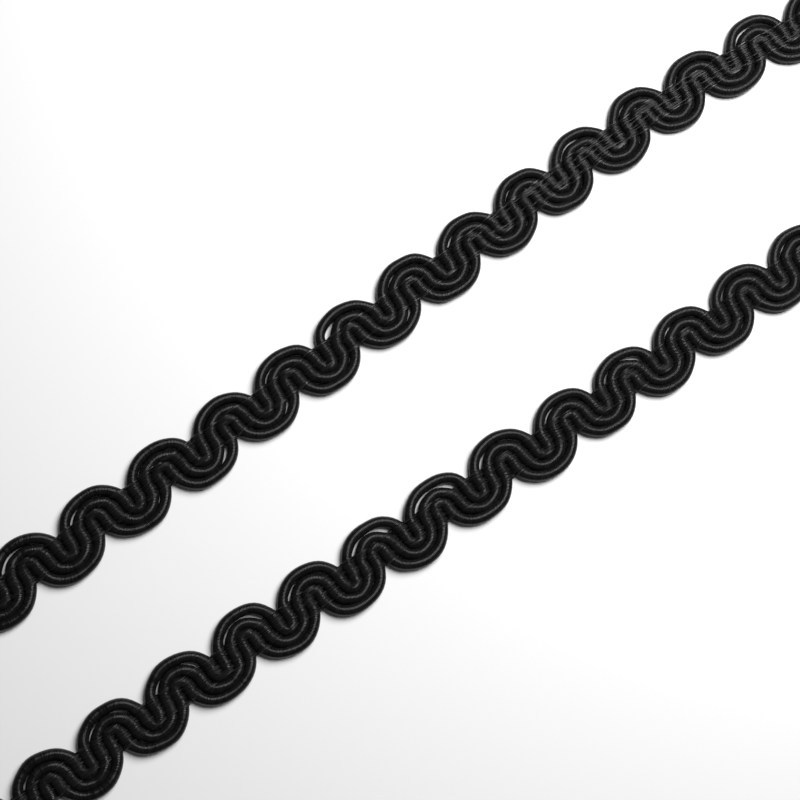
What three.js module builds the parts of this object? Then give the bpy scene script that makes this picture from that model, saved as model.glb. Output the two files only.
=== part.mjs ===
// A cut length of scroll gimp braid, doubled back on itself and lying flat.
// Three wrapped cords run side by side in close scrolls, so each edge shows a row of arches.
// Millimetres, +Z up, with the origin at the middle of the underside.
import * as THREE from "three";

// Driving sizes of the trim
const halfPitch = 5.555; // from one bend to the next, which lies on the other edge
const bendCount = 69; // the two ends are cut at the top of the first and of the last bend
const rises = { inner: 1.2, middle: 2.74, outer: 4.28 }; // from the axis to a cord, at a bend's top
const legShares = { inner: 0.175, middle: 0.5, outer: 0.825 }; // of the way from a bend to the next
const shoulders = { inner: 0.1, middle: 0.1, outer: 0.07 }; // fullness of a bend near its top
const hips = { inner: 0, middle: 0.02, outer: 0.06 }; // fullness of a bend half way down

// The cord's section: a flat underside and a rounded back
const cordWidth = 1.2;
const cordHeight = 1.45;
const soleShare = 0.62; // width of the underside, of the full width
const backShare = 0.58; // width of the flat of the back, of the full width
const shoulderShare = 0.45; // height of the widest place, of the full height
const stepsPerBend = 6;

// The axis of the trim: arcs joined end to end, with a turn to the left positive, in degrees
const axisStart = { x: -91.38, y: 13.9, heading: -0.08 };
const axisArcs = [
  { length: 90, turn: 2.46 },
  { length: 32, turn: -0.5 },
  { length: 36, turn: -8.45 },
  { length: 8.84, turn: 0 },
  { length: 51.8, turn: -185.5 },
  { length: 26, turn: 11.9 },
  { length: 50, turn: -1.9 },
  { length: 92, turn: 2.3 },
];

// How the laid bends depart from an even row. shift is along the axis and rise away from it.
// early and late are the slots between the outer and the middle cord, on a bend's first and
// second flank. Between two rows the shift is in proportion. A bend with no row has no slots.
const bendRows = [
  { bend: 0, shift: 0, rise: 0, early: 0.1, late: 0.1 },
  { bend: 4, shift: -0.1, rise: 0.05, early: 0.3, late: 0 },
  { bend: 5, shift: -0.05, rise: 0.15, early: 0.15, late: 0.1 },
  { bend: 6, shift: 0.1, rise: 0, early: 0.2, late: 0 },
  { bend: 7, shift: 0.15, rise: 0.15, early: 0.1, late: 0.2 },
  { bend: 8, shift: 0.3, rise: -0.2, early: 0, late: 0 },
  { bend: 9, shift: 0.35, rise: 0.35, early: 0.15, late: 0.3 },
  { bend: 10, shift: 0.55, rise: -0.3, early: 0, late: 0 },
  { bend: 11, shift: 0.35, rise: 0.1, early: 0.1, late: 0.2 },
  { bend: 12, shift: 0.45, rise: -0.1, early: 0, late: 0 },
  { bend: 13, shift: 0.45, rise: 0.2, early: 0.1, late: 0.05 },
  { bend: 14, shift: 0.5, rise: -0.1, early: 0.25, late: 0 },
  { bend: 15, shift: 0.5, rise: 0, early: 0.1, late: 0.25 },
  { bend: 16, shift: 0.65, rise: 0.05, early: 0, late: 0 },
  { bend: 17, shift: 0.65, rise: 0, early: 0.1, late: 0.15 },
  { bend: 18, shift: 1.1, rise: -0.35, early: 0, late: 0 },
  { bend: 19, shift: 0.5, rise: -0.05, early: 0.1, late: 0.05 },
  { bend: 20, shift: 0.95, rise: -0.1, early: 0, late: 0 },
  { bend: 21, shift: 0.3, rise: 0.05, early: 0.1, late: 0.05 },
  { bend: 22, shift: 0.65, rise: -0.15, early: 0, late: 0 },
  { bend: 23, shift: 0.2, rise: 0.15, early: 0.05, late: 0.05 },
  { bend: 24, shift: 0.8, rise: -0.1, early: 0, late: 0 },
  { bend: 25, shift: 0.1, rise: -0.05, early: 0.05, late: 0.05 },
  { bend: 26, shift: 0.4, rise: -0.15, early: 0, late: 0 },
  { bend: 27, shift: 0.25, rise: -0.05, early: 0.05, late: 0 },
  { bend: 28, shift: 0.6, rise: 0, early: 0, late: 0.25 },
  { bend: 29, shift: 0.45, rise: -0.05, early: 0.05, late: 0 },
  { bend: 34, shift: 0.4, rise: 0, early: 0.1, late: 0 },
  { bend: 39, shift: 0.4, rise: 0, early: 0.1, late: 0 },
  { bend: 44, shift: 0.75, rise: 0.05, early: 0, late: 0.15 },
  { bend: 45, shift: 0.5, rise: 0.1, early: 0.1, late: 0.1 },
  { bend: 46, shift: 0.9, rise: -0.05, early: 0.1, late: 0.15 },
  { bend: 47, shift: 0.8, rise: -0.1, early: 0, late: 0.05 },
  { bend: 48, shift: 0.85, rise: -0.05, early: 0.1, late: 0 },
  { bend: 49, shift: 0.65, rise: -0.1, early: 0.2, late: 0.2 },
  { bend: 50, shift: 0.75, rise: -0.15, early: 0, late: 0.05 },
  { bend: 51, shift: 0.35, rise: -0.1, early: 0.1, late: 0.2 },
  { bend: 52, shift: 0.55, rise: 0.15, early: 0.1, late: 0.1 },
  { bend: 53, shift: 0.75, rise: 0.25, early: 0.1, late: 0.05 },
  { bend: 54, shift: 0.95, rise: -0.05, early: 0, late: 0.1 },
  { bend: 55, shift: 1.15, rise: -0.1, early: 0.15, late: 0.3 },
  { bend: 56, shift: 1.1, rise: 0.2, early: 0.05, late: 0.15 },
  { bend: 57, shift: 1, rise: -0.15, early: 0.15, late: 0.15 },
  { bend: 58, shift: 0.95, rise: 0.3, early: 0.1, late: 0.1 },
  { bend: 59, shift: 0.95, rise: 0.05, early: 0, late: 0.2 },
  { bend: 60, shift: 0.45, rise: -0.1, early: 0.05, late: 0 },
  { bend: 61, shift: 0.65, rise: 0.3, early: 0.2, late: 0.25 },
  { bend: 62, shift: 0.3, rise: -0.2, early: 0, late: 0 },
  { bend: 63, shift: 0.75, rise: 0.15, early: 0.1, late: 0.3 },
  { bend: 64, shift: 0.3, rise: 0, early: 0, late: 0.1 },
  { bend: 65, shift: 0.45, rise: 0.15, early: 0.15, late: 0.1 },
  { bend: 66, shift: 0.25, rise: 0.05, early: 0, late: 0 },
  { bend: 67, shift: -0.3, rise: -0.05, early: 0, late: 0.05 },
  { bend: 68, shift: -0.3, rise: 0, early: 0, late: 0 },
  { bend: 69, shift: 0, rise: 0, early: 0.1, late: 0.1 },
];
const slotAngle = 48; // from the bend's top to the middle of a slot, in degrees
const slotReach = 46; // from the middle of a slot to its end, in degrees

// The point of the trim's axis at a distance from its start, with the heading there
function axisAt(distance) {
  let { x, y } = axisStart;
  let heading = THREE.MathUtils.degToRad(axisStart.heading);
  let left = distance;
  for (const [index, arc] of axisArcs.entries()) {
    const isLast = index === axisArcs.length - 1;
    const run = isLast ? left : Math.min(left, arc.length);
    const turn = THREE.MathUtils.degToRad(arc.turn) * (run / arc.length);
    const chord = turn === 0 ? run : (run * Math.sin(turn / 2)) / (turn / 2);
    x += chord * Math.cos(heading + turn / 2);
    y += chord * Math.sin(heading + turn / 2);
    heading += turn;
    left -= run;
    if (left <= 0) break;
  }
  return { x, y, heading };
}

function shiftAt(bend) {
  const next = bendRows.findIndex((row) => row.bend >= bend);
  if (next <= 0) return bendRows[0].shift;
  const [before, after] = [bendRows[next - 1], bendRows[next]];
  const share = (bend - before.bend) / (after.bend - before.bend);
  return THREE.MathUtils.lerp(before.shift, after.shift, share);
}

function bendCentre(bend) {
  const counted = THREE.MathUtils.clamp(bend, 0, bendCount);
  return bend * halfPitch + shiftAt(counted);
}

// Even bends lie on the left edge and odd bends on the right
function sideOf(bend) {
  return bend % 2 === 0 ? 1 : -1;
}

// Whether a cord is the inner, the middle or the outer one in a bend
function placeOf(cord, bend) {
  if (cord.edge === 0) return "middle";
  return cord.edge === sideOf(bend) ? "outer" : "inner";
}

// Where a cord crosses the axis between a bend and the next
function legAt(cord, bend) {
  const start = bendCentre(bend);
  return start + (bendCentre(bend + 1) - start) * legShares[placeOf(cord, bend)];
}

function rowOf(bend) {
  return bendRows.find((row) => row.bend === bend) ?? { rise: 0, early: 0, late: 0 };
}

// How far the outer cord stands off the middle one, at an angle from the bend's top
function slotAt(bend, angle) {
  const row = rowOf(bend);
  const swell = (middle) => {
    const away = Math.abs(angle - middle) / slotReach;
    return away < 1 ? Math.cos((away * Math.PI) / 2) ** 2 : 0;
  };
  return row.early * swell(-slotAngle) + row.late * swell(slotAngle);
}

// The route of one cord, as full half ellipses on alternate sides of the axis.
// The steps are spread evenly over the bends, so the tight inner bends get as many as the wide ones.
class CordRoute extends THREE.Curve {
  constructor(cord) {
    super();
    this.cord = cord;
  }

  getPoint(t, target = new THREE.Vector3()) {
    const travelled = t * bendCount;
    const bend = Math.round(travelled);
    const angle = (travelled - bend) * Math.PI;
    const [from, to] = [legAt(this.cord, bend - 1), legAt(this.cord, bend)];
    const halfWidth = (to - from) / 2;
    const place = placeOf(this.cord, bend);
    const rise = rises[place] + rowOf(bend).rise;
    const slot = place === "outer" ? slotAt(bend, THREE.MathUtils.radToDeg(angle)) : 0;
    const [sine, cosine] = [Math.sin(angle), Math.cos(angle)];
    const fullness = 1 + shoulders[place] * cosine ** 2 + hips[place] * sine ** 2 * cosine;
    const along = (from + to) / 2 + (halfWidth * fullness + slot) * sine;
    const across = sideOf(bend) * (rise + slot) * cosine;
    const { x, y, heading } = axisAt(along);
    return target.set(x - across * Math.sin(heading), y + across * Math.cos(heading), 0);
  }

  getUtoTmapping(u) {
    return u;
  }
}

// The section is drawn as (downward, leftward), the way an extrusion carries it along a flat route
function cordSection() {
  const [half, shoulder] = [cordWidth / 2, cordHeight * shoulderShare];
  const corners = [
    { across: -half * soleShare, up: 0 },
    { across: half * soleShare, up: 0 },
    { across: half, up: shoulder },
    { across: half * backShare, up: cordHeight },
    { across: -half * backShare, up: cordHeight },
    { across: -half, up: shoulder },
  ];
  return new THREE.Shape(corners.map(({ across, up }) => new THREE.Vector2(-up, across)));
}

function makeCord(cord) {
  const geometry = new THREE.ExtrudeGeometry(cordSection(), {
    steps: bendCount * stepsPerBend,
    extrudePath: new CordRoute(cord),
  });
  const material = new THREE.MeshStandardMaterial({ color: cord.color, roughness: 0.45, metalness: 0 });
  const mesh = new THREE.Mesh(geometry, material);
  mesh.name = cord.name;
  return mesh;
}

// edge says on which edge of the trim a cord makes the outer arches: 1 is left, -1 is right
const cords = [
  { name: "outer_gimp_cord", edge: 1, color: 0x141415 },
  { name: "middle_gimp_cord", edge: 0, color: 0x131314 },
  { name: "inner_gimp_cord", edge: -1, color: 0x141415 },
];

const trim = new THREE.Group();
for (const cord of cords) trim.add(makeCord(cord));

export default trim;
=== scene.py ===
import math
import random

import bpy
from mathutils import Matrix, Vector, kdtree


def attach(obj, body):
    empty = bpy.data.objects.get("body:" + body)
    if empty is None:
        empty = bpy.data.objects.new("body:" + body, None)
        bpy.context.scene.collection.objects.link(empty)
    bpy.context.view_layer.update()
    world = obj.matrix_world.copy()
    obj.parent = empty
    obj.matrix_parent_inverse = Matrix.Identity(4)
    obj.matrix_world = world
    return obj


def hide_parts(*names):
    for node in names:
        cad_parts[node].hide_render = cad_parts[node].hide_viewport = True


# A cut length of scroll gimp braid in black satin, doubled back on itself and lying flat.
# Three wrapped cords run side by side in close scrolls. A band of fine threads binds them along
# the middle. Lengths are in millimetres until a mesh is made.

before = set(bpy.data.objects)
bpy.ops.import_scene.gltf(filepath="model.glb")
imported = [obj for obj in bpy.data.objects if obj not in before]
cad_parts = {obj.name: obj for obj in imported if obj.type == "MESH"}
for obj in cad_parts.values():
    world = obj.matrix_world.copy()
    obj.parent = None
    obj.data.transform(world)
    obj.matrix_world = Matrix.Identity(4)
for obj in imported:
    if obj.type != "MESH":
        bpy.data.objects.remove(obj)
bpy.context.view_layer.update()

MM = 0.001

# Driving sizes of the trim. The solids have thinner cords that stand apart, so a few of these
# values differ a little from the ones in the part's source.
HALF_PITCH = 5.555
BEND_COUNT = 69
RISES = {"inner": 1.45, "middle": 2.85, "outer": 4.28}
LEG_SHARES = {"inner": 0.175, "middle": 0.5, "outer": 0.825}
SHOULDERS = {"inner": 0.15, "middle": 0.1, "outer": 0.07}
HIPS = {"inner": 0, "middle": 0.02, "outer": 0.06}
SLOT_ANGLE = 48
SLOT_REACH = 46
SLOT_SHARES = {"inner": -0.2, "middle": -0.5, "outer": 0.5}
LEAN = 0.13
LEAN_CHANGE = (31, 41)

# The axis of the trim: arcs joined end to end, as (length, turn to the left in degrees)
AXIS_START = (-91.38, 13.9, math.radians(-0.08))
AXIS_ARCS = (
    (90, 2.46),
    (32, -0.5),
    (36, -8.45),
    (8.84, 0),
    (51.8, -185.5),
    (26, 11.9),
    (50, -1.9),
    (92, 2.3),
)

# How the laid bends depart from an even row: bend, shift along the axis, rise, and the slots on
# the bend's first and second flank
BEND_ROWS = (
    (0, 0, 0, 0.1, 0.1),
    (4, -0.1, 0.05, 0.3, 0),
    (5, -0.05, 0.15, 0.15, 0.1),
    (6, 0.1, 0, 0.12, 0),
    (7, 0.15, 0.15, 0.1, 0.12),
    (8, 0.3, -0.2, 0, 0),
    (9, 0.35, 0.35, 0.15, 0.34),
    (10, 0.55, -0.3, -0.15, 0),
    (11, 0.35, 0.1, 0.1, 0.3),
    (12, 0.45, -0.1, 0.1, 0),
    (13, 0.45, 0.2, 0.1, 0.05),
    (14, 0.5, -0.1, 0.55, 0),
    (15, 0.5, 0, 0.1, 0.28),
    (16, 0.65, 0.05, 0, 0),
    (17, 0.65, 0, 0.1, 0),
    (18, 1.1, -0.35, 0, 0),
    (19, 0.5, -0.05, 0.1, 0.05),
    (20, 0.95, -0.1, -0.08, 0),
    (21, 0.3, 0.05, 0.1, 0.05),
    (22, 0.65, -0.15, -0.1, 0),
    (23, 0.2, 0.15, 0.05, 0.05),
    (24, 0.8, -0.1, -0.25, 0),
    (25, 0.1, -0.05, 0.05, 0.05),
    (26, 0.4, -0.15, 0, 0),
    (27, 0.25, -0.05, 0.05, 0),
    (28, 0.85, 0.1, -0.2, 0.4),
    (29, 0.45, -0.05, 0.05, 0),
    (34, 0.4, 0, 0.1, 0),
    (39, 0.4, 0, 0.1, 0),
    (44, 0.75, 0.05, 0, 0.15),
    (45, 0.5, 0.1, 0.1, 0.04),
    (46, 0.9, -0.05, 0.1, 0.15),
    (47, 0.8, -0.1, 0, 0.05),
    (48, 0.85, -0.05, 0.1, 0),
    (49, 0.65, -0.1, 0.42, 0.06),
    (50, 0.75, -0.15, 0, 0.05),
    (51, 0.35, -0.1, 0.1, 0.12),
    (52, 0.55, 0.15, 0.1, 0.1),
    (53, 0.75, 0.25, 0.1, 0.09),
    (54, 0.95, -0.05, -0.1, 0.1),
    (55, 1.15, -0.1, 0.5, 0.34),
    (56, 1.1, 0.2, 0.05, 0.15),
    (57, 1, -0.15, 0.65, 0.19),
    (58, 0.95, 0.3, 0.1, 0.1),
    (59, 0.95, 0.05, 0, 0.26),
    (60, 0.45, -0.1, 0.05, 0),
    (61, 0.65, 0.3, 0.34, 0.12),
    (62, 0.3, -0.2, 0, 0),
    (63, 0.75, 0.15, 0.1, 0.2),
    (64, 0.3, 0, 0, 0.1),
    (65, 0.45, 0.15, 0.15, 0.1),
    (66, 0.25, 0.05, 0, 0),
    (67, -0.3, -0.05, 0, 0.05),
    (68, -0.3, 0, 0, 0),
    (69, 0, 0, 0.1, 0.1),
)
SLOTS = {bend: (early, late) for bend, _, _, early, late in BEND_ROWS}
UNEVEN_RISES = {bend: rise for bend, _, rise, _, _ in BEND_ROWS}

# Slots that open at the top of a bend
TOP_SLOTS = {4: 0.15, 22: 0.22, 24: 0.1, 28: 0.28, 55: 0.12, 57: 0.14, 61: 0.08}

# Which edge of the trim a cord makes the outer arches of: 1 is left, -1 is right
CORD_EDGES = {"outer_gimp_cord": 1, "middle_gimp_cord": 0, "inner_gimp_cord": -1}

# A cord's section
CORD_WIDTH = 1.6
CORD_HEIGHT = 1.5
LEG_WIDENING = 0.2
LEG_PINCH = 0.1
SOLE_SHARE = 0.05
BOUND_REACH = (1.5, 2.6)
CORD_SIDES = 16
STEPS_PER_BEND = 24
DIRECTION_STEP = 0.01

# A cord is laid by hand and strays from its even line in two waves. Each is given as how far it
# strays, how fast it runs and how fast it comes and goes, each speed with its start
KINK_WAVES = ((0.055, 14.3, 2.3, 3.1, 1), (0.035, 23.7, 4, 1.7, 2))

# Its thickness wavers in two waves as well, given as how much, how fast and the start
UNEVEN_WAVES = ((0.018, 0.83, 2), (0.014, 2.1, 1))

# The band of binding threads
BAND_REACH = 1.75
THREADS = 34
THREAD_WIDTH = 0.16
EDGE_THREAD_WIDTH = 0.24
THREAD_HEIGHT = 0.11
THREAD_STEP = 0.31
THREAD_SIDES = 4
THREAD_SEED = 7
BAND_EDGE = 1.5
END_FRAY = (0.1, 0.7)
SWAY = 0.06
SWAY_SPEED = 0.9
LAST_SWAY_START = 6
SHAKE = 0.03
GAP_SHARE = 0.75
SLANT_START = 0.47
SLANT = 0.53
LOOSE_CROWN = 0.27
FLOAT_CROWN = 0.86
FLOAT_SHARE = 0.15

# Stretches of the axis over which the threads change, and the end of the first pass
GLEAM_GROWS = (10, 60)
THREADS_LOOSEN = (85, 125)
THREADS_TIGHTEN = (160, 180)
FIRST_PASS_END = 170

# The gleam of the threads, and the heights between which a thread comes to ride on a cord
EDGE_GLEAM = 0.3
FIRST_PASS_EDGE_GLEAM = 0.45
FIRST_PASS_GLEAM = 0.22
RIDING_HEIGHTS = (1.15, 1.38)

# The pitch of the thread that wraps a cord, and of the ply in a binding thread
WRAP_PITCH = 0.2
PLY_PITCH = 0.35


def axis_at(distance):
    """The point of the trim's axis at a distance from its start, with the heading there."""
    x, y, heading = AXIS_START
    left = distance
    for index, (length, degrees) in enumerate(AXIS_ARCS):
        run = left if index == len(AXIS_ARCS) - 1 else min(left, length)
        turn = math.radians(degrees) * run / length
        chord = run * math.sin(turn / 2) / (turn / 2) if turn else run
        x += chord * math.cos(heading + turn / 2)
        y += chord * math.sin(heading + turn / 2)
        heading += turn
        left -= run
        if left <= 0:
            break
    return x, y, heading


def beside_axis(along, across):
    """The point that lies at a distance along the axis and across it, to the left."""
    x, y, heading = axis_at(along)
    return Vector((x - across * math.sin(heading), y + across * math.cos(heading)))


def shift_at(bend):
    for (before, first, *_), (after, second, *_) in zip(BEND_ROWS, BEND_ROWS[1:]):
        if bend <= after:
            return first + (second - first) * (bend - before) / (after - before)
    return BEND_ROWS[-1][1]


BEND_CENTRES = {
    bend: bend * HALF_PITCH + shift_at(min(max(bend, 0), BEND_COUNT))
    for bend in range(-1, BEND_COUNT + 3)
}


def side_of(bend):
    return 1 if bend % 2 == 0 else -1


def place_of(edge, bend):
    """Whether a cord is the inner, the middle or the outer one in a bend."""
    if edge == 0:
        return "middle"
    return "outer" if edge == side_of(bend) else "inner"


def leg_at(edge, bend):
    """Where a cord crosses the axis between a bend and the next."""
    start = BEND_CENTRES[bend]
    return start + (BEND_CENTRES[bend + 1] - start) * LEG_SHARES[place_of(edge, bend)]


def slot_at(bend, degrees):
    """How wide the slot between the outer cord and the middle one is, at an angle from the top."""

    def swell(middle):
        away = abs(degrees - middle) / SLOT_REACH
        return math.cos(away * math.pi / 2) ** 2 if away < 1 else 0

    early, late = SLOTS.get(bend, (0, 0))
    top = TOP_SLOTS.get(bend, 0)
    return early * swell(-SLOT_ANGLE) + late * swell(SLOT_ANGLE) + top * swell(0)


def smooth(value, low, high):
    """0 at low, 1 at high and an even passage between them."""
    share = min(max((value - low) / (high - low), 0), 1)
    return share * share * (3 - 2 * share)


def lean_at(travelled):
    """How far the middle cord lies off the axis: to the same side of both passes in the room."""
    return LEAN * (2 * smooth(travelled, *LEAN_CHANGE) - 1)


def route_at(edge, travelled):
    """Where a cord runs: its distances along the axis and across it, after a number of bends."""
    bend = math.floor(travelled + 0.5)
    angle = (travelled - bend) * math.pi
    start, end = leg_at(edge, bend - 1), leg_at(edge, bend)
    place = place_of(edge, bend)
    rise = RISES[place] + UNEVEN_RISES.get(bend, 0)
    slot = slot_at(bend, math.degrees(angle)) * SLOT_SHARES[place]
    sine, cosine = math.sin(angle), math.cos(angle)
    fullness = 1 + SHOULDERS[place] * cosine**2 + HIPS[place] * sine**2 * cosine
    along = (start + end) / 2 + ((end - start) / 2 * fullness + slot) * sine
    across = side_of(bend) * (rise + slot) * cosine
    if place != "outer":
        across += lean_at(travelled) * (1 if place == "middle" else cosine**2)
    return along, across


def kink_at(edge, travelled):
    """How far a cord strays to the left of its even line."""
    stray = 0
    for depth, speed, start, fading, fading_start in KINK_WAVES:
        wave = math.sin(speed * travelled + start * edge)
        stray += depth * (wave * math.sin(fading * travelled + fading_start * edge))
    return stray


def unevenness(edge, length):
    """By what share of itself a cord is thicker than it should be, at a length along it."""
    return sum(
        depth * math.sin(speed * length + start * edge) for depth, speed, start in UNEVEN_WAVES
    )


class CordStep:
    """One place on a cord: its middle, the way to its left, its length so far and its section."""

    def __init__(self, edge, travelled, length):
        along, across = route_at(edge, travelled)
        ahead = beside_axis(*route_at(edge, travelled + DIRECTION_STEP))
        behind = beside_axis(*route_at(edge, travelled - DIRECTION_STEP))
        direction = (ahead - behind).normalized()
        self.left = Vector((-direction.y, direction.x))
        self.point = beside_axis(along, across) + self.left * kink_at(edge, travelled)
        self.length = length
        heading = axis_at(along)[2]
        straight_across = direction.y * math.cos(heading) - direction.x * math.sin(heading)
        bound = straight_across**2 * (1 - smooth(abs(across), *BOUND_REACH))
        full = 1 + unevenness(edge, length)
        self.half_width = (CORD_WIDTH * full + LEG_WIDENING * bound) / 2
        self.low = LEG_PINCH * bound
        self.high = CORD_HEIGHT * full - LEG_PINCH * bound


def cord_steps(edge):
    steps = []
    length = 0
    for number in range(BEND_COUNT * STEPS_PER_BEND + 1):
        step = CordStep(edge, number / STEPS_PER_BEND, length)
        if steps:
            length += (step.point - steps[-1].point).length
            step.length = length
        steps.append(step)
    return steps


class TubeMesh:
    """Gathers tubes ring by ring, in millimetres, and makes one closed mesh of them."""

    def __init__(self):
        self.corners = []
        self.faces = []
        self.face_uvs = []
        self.face_slots = []
        self.gleams = []

    def add_tube(self, rings, lengths, gleams, cap_slot=0):
        sides = len(rings[0])
        first = len(self.corners)
        for ring, gleam in zip(rings, gleams):
            self.corners.extend(ring)
            self.gleams.extend([gleam] * sides)
        for row in range(len(rings) - 1):
            start, end = lengths[row], lengths[row + 1]
            for side in range(sides):
                here = first + row * sides + side
                beside = first + row * sides + (side + 1) % sides
                self.faces.append((here, beside, beside + sides, here + sides))
                low, high = side / sides, (side + 1) / sides
                self.face_uvs.append(((start, low), (start, high), (end, high), (end, low)))
                self.face_slots.append(0)
        for row, turned in ((0, True), (len(rings) - 1, False)):
            middle = len(self.corners)
            self.corners.append(sum(rings[row], Vector()) / sides)
            self.gleams.append(gleams[row])
            for side in range(sides):
                here = first + row * sides + side
                beside = first + row * sides + (side + 1) % sides
                self.faces.append((middle, beside, here) if turned else (middle, here, beside))
                self.face_uvs.append(((lengths[row], 0),) * 3)
                self.face_slots.append(cap_slot)

    def make(self, name, materials):
        mesh = bpy.data.meshes.new(name)
        mesh.from_pydata([corner * MM for corner in self.corners], [], self.faces)
        mesh.polygons.foreach_set("use_smooth", [True] * len(mesh.polygons))
        for material in materials:
            mesh.materials.append(material)
        mesh.polygons.foreach_set("material_index", self.face_slots)
        wrap = mesh.uv_layers.new(name="wrap")
        values = [value for face in self.face_uvs for uv in face for value in uv]
        wrap.data.foreach_set("uv", values)
        gleam = mesh.attributes.new("gleam", "FLOAT", "POINT")
        gleam.data.foreach_set("value", self.gleams)
        mesh.validate()
        piece = bpy.data.objects.new(name, mesh)
        bpy.context.collection.objects.link(piece)
        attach(piece, "root")
        return piece


def cord_ring(step):
    """The cord's section at a step: round, with the sole pressed flat by its weight."""
    ring = []
    for side in range(CORD_SIDES):
        turn = 2 * math.pi * side / CORD_SIDES
        height = max(0.5 + 0.5 * math.sin(turn), SOLE_SHARE)
        height = (height - SOLE_SHARE) / (1 - SOLE_SHARE)
        spot = step.point + step.left * step.half_width * math.cos(turn)
        ring.append(Vector((spot.x, spot.y, step.low + (step.high - step.low) * height)))
    return ring


class Bed:
    """The cords as the binding threads feel them: how far off the nearest cord's middle lies."""

    def __init__(self, cords):
        self.steps = [step for cord in cords for step in cord]
        self.tree = kdtree.KDTree(len(self.steps))
        for index, step in enumerate(self.steps):
            self.tree.insert((step.point.x, step.point.y, 0), index)
        self.tree.balance()

    def under(self, spot):
        _, index, away = self.tree.find((spot.x, spot.y, 0))
        step = self.steps[index]
        return step, min(away / step.half_width, 1)


def looseness(along):
    """Where the binding threads lie loose on the cords: 1 towards the end of the first pass."""
    return smooth(along, *THREADS_LOOSEN) * (1 - smooth(along, *THREADS_TIGHTEN))


def crown_at(offset, along, away):
    """How high a thread lies over a cord, 1 at the top, at a share of the half width away from its
    middle. A thread at the band's edge leaves the cord in a straight slant."""
    if abs(offset) > BAND_EDGE and along < FIRST_PASS_END and away > SLANT_START:
        return math.sqrt(1 - SLANT_START**2) - SLANT * (away - SLANT_START)
    return min(math.sqrt(max(1 - away**2, 0)) / (1 - LOOSE_CROWN * looseness(along)), 1)


def gleam_at(offset, along, height):
    """How glossy a thread is: it shines where it rides on a cord, most at the band's edges."""
    first_pass = smooth(along, *GLEAM_GROWS) * (1 - smooth(along, *THREADS_TIGHTEN))
    riding = smooth(height, *RIDING_HEIGHTS)
    if abs(offset) > BAND_EDGE:
        return riding * (EDGE_GLEAM + FIRST_PASS_EDGE_GLEAM * first_pass)
    return riding * (FIRST_PASS_GLEAM * first_pass)


def thread_points(bed, offset, over, draw):
    """A binding thread's line: over some cords and under others, at an offset from the axis."""
    start = draw.uniform(*END_FRAY)
    end = BEND_CENTRES[BEND_COUNT] - draw.uniform(*END_FRAY)
    count = round((end - start) / THREAD_STEP)
    sway_start = draw.uniform(0, LAST_SWAY_START)
    spots, beneath = [], []
    for number in range(count + 1):
        along = start + (end - start) * number / count
        sway = SWAY * math.sin(SWAY_SPEED * along + sway_start) + draw.uniform(-SHAKE, SHAKE)
        spots.append(beside_axis(along, offset + sway))
        beneath.append(bed.under(spots[-1]))
    away = [share for _, share in beneath]
    gaps = [
        number
        for number in range(1, count)
        if away[number - 1] <= away[number] > away[number + 1] and away[number] > GAP_SHARE
    ]
    floated = False
    heights = []
    for first, last in zip([0, *gaps], [*gaps, count + 1]):
        loose = 0 if abs(offset) > BAND_EDGE else looseness(start + last * THREAD_STEP)
        stays = over and draw.random() < FLOAT_SHARE * loose
        for number in range(first, last):
            step = beneath[number][0]
            crown = crown_at(offset if over else 0, start + number * THREAD_STEP, away[number])
            past_crown = number > (first + last) / 2
            if over and (stays if past_crown else floated):
                crown = max(crown, FLOAT_CROWN)
            middle = (step.low + step.high) / 2
            top = step.high + THREAD_HEIGHT / 2
            sole = step.low - THREAD_HEIGHT / 2
            height = middle + ((top if over else sole) - middle) * crown
            heights.append(max(height, THREAD_HEIGHT / 2))
        floated = stays
        over = stays or not over
    return [Vector((spot.x, spot.y, height)) for spot, height in zip(spots, heights)]


def thread_rings(points, width, height):
    rings = []
    for number, point in enumerate(points):
        ahead = points[min(number + 1, len(points) - 1)]
        behind = points[max(number - 1, 0)]
        direction = (ahead - behind).normalized()
        left = Vector((0, 0, 1)).cross(direction).normalized()
        up = direction.cross(left)
        rings.append(
            [
                point
                + left * (width / 2 * math.cos(2 * math.pi * side / THREAD_SIDES))
                + up * (height / 2 * math.sin(2 * math.pi * side / THREAD_SIDES))
                for side in range(THREAD_SIDES)
            ]
        )
    return rings


class Wave:
    """A socket that carries a number, so that shader maths reads as an expression."""

    def __init__(self, recipe, socket):
        self.recipe = recipe
        self.socket = socket

    def _maths(self, operation, *values):
        node = self.recipe.add("ShaderNodeMath", {"operation": operation}, dict(enumerate(values)))
        return Wave(self.recipe, node.outputs[0])

    def __add__(self, other):
        return self._maths("ADD", self, other)

    def __mul__(self, other):
        return self._maths("MULTIPLY", self, other)

    def __truediv__(self, other):
        return self._maths("DIVIDE", self, other)

    __radd__ = __add__
    __rmul__ = __mul__

    def sine(self):
        return self._maths("SINE", self)

    def size(self):
        return self._maths("ABSOLUTE", self)

    def floor(self):
        return self._maths("FLOOR", self)


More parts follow.
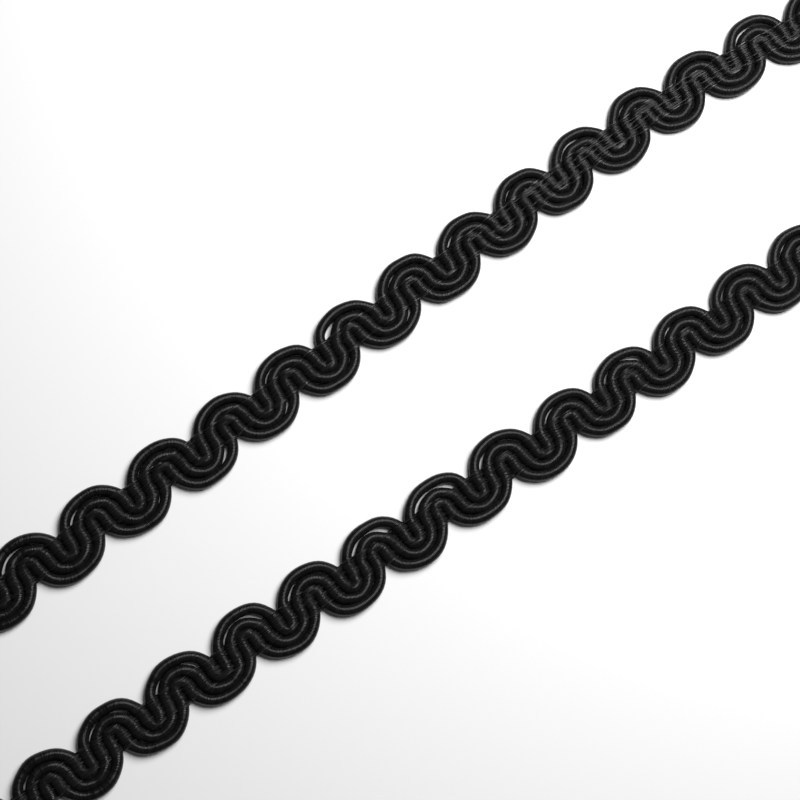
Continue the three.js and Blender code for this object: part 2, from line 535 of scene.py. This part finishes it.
class Recipe:
    """A material under way, with one method that adds any node."""

    def __init__(self, name):
        self.material = bpy.data.materials.new(name)
        self.material.use_nodes = True
        self.tree = self.material.node_tree
        self.tree.nodes.clear()

    def add(self, kind, settings=None, sockets=None):
        node = self.tree.nodes.new(kind)
        for setting, value in (settings or {}).items():
            setattr(node, setting, value)
        for socket, value in (sockets or {}).items():
            if isinstance(value, Wave):
                value = value.socket
            if isinstance(value, bpy.types.NodeSocket):
                self.tree.links.new(value, node.inputs[socket])
            else:
                node.inputs[socket].default_value = value
        return node

    def wave(self, kind, output, settings=None, sockets=None):
        return Wave(self, self.add(kind, settings, sockets).outputs[output])

    def blend(self, share, low, high):
        """A colour between two, by a share from 0 to 1."""
        node = self.add("ShaderNodeMix", {"data_type": "RGBA"}, {0: share, 6: low, 7: high})
        return node.outputs[2]

    def finish(self, sockets):
        surface = self.add("ShaderNodeBsdfPrincipled", None, sockets)
        self.add("ShaderNodeOutputMaterial", None, {"Surface": surface.outputs[0]})
        return self.material


# The colours: the wrap and the binding thread are black, the cut cores a dull dark grey. The
# binding thread's two blacks are painted light on its ply ridges and painted shade in the grooves
# between them
DEEP_BLACK = (0.0042, 0.0042, 0.0043, 1)
WORN_BLACK = (0.0085, 0.0085, 0.0087, 1)
YARN_PAINTED_GROOVE_SHADE = (0.006, 0.006, 0.006, 1)
YARN_PAINTED_RIDGE_LIGHT = (0.014, 0.014, 0.0145, 1)
CORE_SHADE = (0.008, 0.008, 0.008, 1)
CORE_LIGHT = (0.035, 0.035, 0.034, 1)
PALE_FLOOR = (0.82, 0.82, 0.825, 1)


def satin_wrap():
    """Glossy black thread wound closely round a cord's core."""
    recipe = Recipe("satin_wrap")
    uv = recipe.add("ShaderNodeUVMap", {"uv_map": "wrap"})
    split = recipe.add("ShaderNodeSeparateXYZ", None, {0: uv.outputs[0]})
    along, around = Wave(recipe, split.outputs[0]), Wave(recipe, split.outputs[1])
    turns = along / WRAP_PITCH + around
    thread = (turns * math.pi).sine().size()
    number = turns.floor()
    own = recipe.wave("ShaderNodeTexWhiteNoise", "Value", {"noise_dimensions": "1D"}, {"W": number})
    slow = recipe.wave(
        "ShaderNodeTexNoise",
        "Fac",
        {"noise_dimensions": "1D"},
        {"W": along, "Scale": 1.6, "Detail": 2.0},
    )
    height = thread * (own * 0.3 + 0.7)
    bump = recipe.add(
        "ShaderNodeBump", None, {"Strength": 1.0, "Distance": 0.03 * MM, "Height": height}
    )
    return recipe.finish(
        {
            "Base Color": recipe.blend(own, DEEP_BLACK, WORN_BLACK),
            "Roughness": own * 0.05 + slow * 0.08 + 0.12,
            "Specular IOR Level": 0.18,
            "Normal": bump.outputs[0],
        }
    )


def binding_yarn():
    """Fine black filament thread, with painted light along its ply ridges and painted shade in the
    grooves between them.
    """
    recipe = Recipe("binding_yarn")
    uv = recipe.add("ShaderNodeUVMap", {"uv_map": "wrap"})
    split = recipe.add("ShaderNodeSeparateXYZ", None, {0: uv.outputs[0]})
    along, around = Wave(recipe, split.outputs[0]), Wave(recipe, split.outputs[1])
    # Painted ply relief: a helical stripe, lighter on each ply's ridge and darker where shade falls
    # in the groove between plies
    painted_ply_shading = ((along / PLY_PITCH + around) * (2 * math.pi)).sine() * 0.5 + 0.5
    gleam = recipe.add("ShaderNodeAttribute", {"attribute_name": "gleam"}).outputs["Fac"]
    return recipe.finish(
        {
            "Base Color": recipe.blend(painted_ply_shading, YARN_PAINTED_GROOVE_SHADE, YARN_PAINTED_RIDGE_LIGHT),
            "Roughness": 0.36,
            "Specular IOR Level": 0.16,
            "Coat Weight": gleam,
            "Coat Roughness": 0.28,
        }
    )


def cut_core():
    """The dull fibres of a cord's core, seen at a cut end."""
    recipe = Recipe("cut_core")
    spot = recipe.add("ShaderNodeTexCoord").outputs["Object"]
    fibres = recipe.wave("ShaderNodeTexNoise", "Fac", None, {"Vector": spot, "Scale": 9000.0})
    bump = recipe.add(
        "ShaderNodeBump", None, {"Strength": 0.8, "Distance": 0.05 * MM, "Height": fibres}
    )
    return recipe.finish(
        {
            "Base Color": recipe.blend(fibres, CORE_SHADE, CORE_LIGHT),
            "Roughness": 0.9,
            "Normal": bump.outputs[0],
        }
    )


def white_card():
    """The plain pale floor."""
    recipe = Recipe("white_card")
    return recipe.finish({"Base Color": PALE_FLOOR, "Roughness": 0.9})


SATIN, YARN, CORE = satin_wrap(), binding_yarn(), cut_core()

# The camera stands almost straight above the trim, turned so that both passes climb to the right
CAMERA_PLACE = Vector((-33.92, -8.01, 160.24)) * MM
CAMERA_RIGHT = Vector((0.80758, -0.58642, 0.06259))
CAMERA_UP = Vector((0.57558, 0.80685, 0.13305))
CAMERA_BACK = Vector((-0.12853, -0.07142, 0.98913))
camera = bpy.data.objects.new("camera", bpy.data.cameras.new("camera"))
camera.data.lens = 50
camera.data.sensor_width = 36
camera.data.clip_start = 0.01
camera.data.clip_end = 20
camera.matrix_world = Matrix.Translation(CAMERA_PLACE) @ Matrix(
    (CAMERA_RIGHT, CAMERA_UP, CAMERA_BACK)
).transposed().to_4x4()
bpy.context.collection.objects.link(camera)
bpy.context.scene.camera = camera

# The three gimp cords
cords = {name: cord_steps(edge) for name, edge in CORD_EDGES.items()}
cord_mesh = TubeMesh()
for steps in cords.values():
    cord_mesh.add_tube(
        [cord_ring(step) for step in steps],
        [step.length for step in steps],
        [0] * len(steps),
        cap_slot=1,
    )
gimp = cord_mesh.make("scroll_gimp_cords", [SATIN, CORE])
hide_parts(*cords)

# The binding threads
draw = random.Random(THREAD_SEED)
bed = Bed(cords.values())
for half in (0, 1):
    band = TubeMesh()
    for index in range(half, THREADS, 2):
        offset = -BAND_REACH + 2 * BAND_REACH * index / (THREADS - 1)
        points = thread_points(bed, offset, half == 0, draw)
        lengths = [number * THREAD_STEP for number in range(len(points))]
        width = EDGE_THREAD_WIDTH if abs(offset) > BAND_EDGE else THREAD_WIDTH
        gleams = [gleam_at(offset, length, point.z) for length, point in zip(lengths, points)]
        band.add_tube(thread_rings(points, width, THREAD_HEIGHT), lengths, gleams)
    band.make(("first_binding_threads", "second_binding_threads")[half], [YARN])

trim_length = (BEND_CENTRES[BEND_COUNT] - BEND_CENTRES[0]) * MM

# The floor and the light
bpy.ops.object.select_all(action="DESELECT")
bpy.ops.mesh.primitive_plane_add(size=3, location=(0, 0, 0))
floor = bpy.context.object
floor.name = "white_floor"
floor.data.materials.append(white_card())

world = bpy.data.worlds.new("soft_room")
world.use_nodes = True
world.node_tree.nodes["Background"].inputs["Color"].default_value = (1, 1, 1, 1)
world.node_tree.nodes["Background"].inputs["Strength"].default_value = 0.06
bpy.context.scene.world = world


def soft_light(name, right, up, height, width, power):
    """A disc of light above the trim. right and up are as the camera sees them."""
    centre = Vector((-13.2, 3.5, 0))
    spread_right = Vector((0.809, -0.588, 0))
    spread_up = Vector((0.588, 0.809, 0))
    place = centre + spread_right * right + spread_up * up + Vector((0, 0, height))
    light = bpy.data.objects.new(name, bpy.data.lights.new(name, "AREA"))
    light.data.shape = "DISK"
    light.data.size = width * MM
    light.data.energy = power
    light.rotation_euler = (centre - place).to_track_quat("-Z", "Y").to_euler()
    light.location = place * MM
    bpy.context.collection.objects.link(light)


soft_light("overhead_softbox", right=100, up=118, height=220, width=200, power=1.27)

bpy.context.scene.view_settings.view_transform = "Standard"
